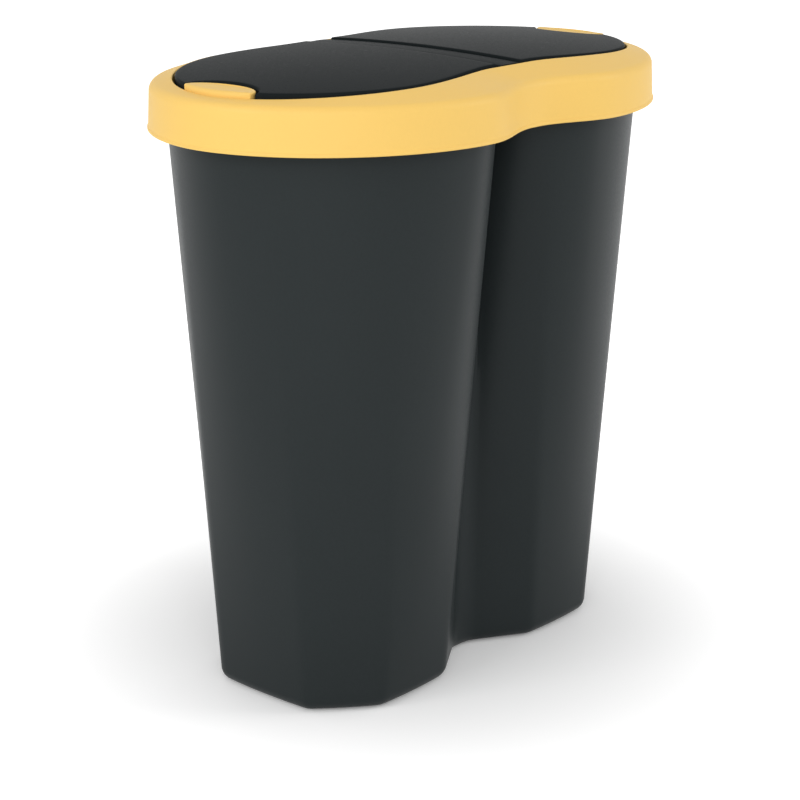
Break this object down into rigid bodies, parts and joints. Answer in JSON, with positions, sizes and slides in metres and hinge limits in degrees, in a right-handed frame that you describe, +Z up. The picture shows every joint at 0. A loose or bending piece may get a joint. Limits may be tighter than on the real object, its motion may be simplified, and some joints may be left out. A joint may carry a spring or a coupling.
{
  "type": "double recycling bin",
  "caption": "Twin-lobed floor bin for sorting waste: a dark tapered tub with lift-out buckets, a yellow press-on collar and two hinged lids that meet at a centre bridge.",
  "frame": {"origin": "centre of the foot, on the floor, half way between the two chambers", "axes": "+X from the left chamber to the right one, +Y from front to back, +Z up"},
  "size_m": [0.53, 0.329, 0.5589],
  "materials": {
    "tub_plastic": "fine-grained satin moulding, anthracite",
    "lid_plastic": "satin moulding, anthracite",
    "collar_plastic": "satin moulding, warm yellow",
    "bucket_plastic": "plain moulding, mid grey",
    "steel": "zinc plated"
  },
  "bodies": {
    "bin": {"twin_tub": "tub_plastic", "collar": "collar_plastic", "centre_bridge": "lid_plastic", "left_hinge_rod": "steel", "right_hinge_rod": "steel", "left_latch_spring": "steel", "right_latch_spring": "steel", "left_bucket": "bucket_plastic", "right_bucket": "bucket_plastic", "front_bridge_screw": "steel", "rear_bridge_screw": "steel"},
    "left_lid": {"left_lid": "lid_plastic"},
    "right_lid": {"right_lid": "lid_plastic"},
    "left_latch": {"left_latch_pad": "collar_plastic"},
    "right_latch": {"right_latch_pad": "collar_plastic"}
  },
  "joints": [
    {"name": "left_lid_hinge", "type": "hinge", "parent": "bin", "child": "left_lid", "pos_m": [-0.0276, 0, 0.55], "axis": [0, 1, 0], "range_deg": [0, 90]},
    {"name": "right_lid_hinge", "type": "hinge", "parent": "bin", "child": "right_lid", "pos_m": [0.0276, 0, 0.55], "axis": [0, -1, 0], "range_deg": [0, 90]},
    {"name": "left_latch_rock", "type": "hinge", "parent": "bin", "child": "left_latch", "pos_m": [-0.23569, 0, 0.5385], "axis": [0, 1, 0], "range_deg": [0, 6], "stiffness_Nm_per_rad": 0.6, "springref_deg": -4.58, "deforming": ["left_latch_spring"]},
    {"name": "right_latch_rock", "type": "hinge", "parent": "bin", "child": "right_latch", "pos_m": [0.23569, 0, 0.5385], "axis": [0, -1, 0], "range_deg": [0, 6], "stiffness_Nm_per_rad": 0.6, "springref_deg": -4.58, "deforming": ["right_latch_spring"]}
  ]
}
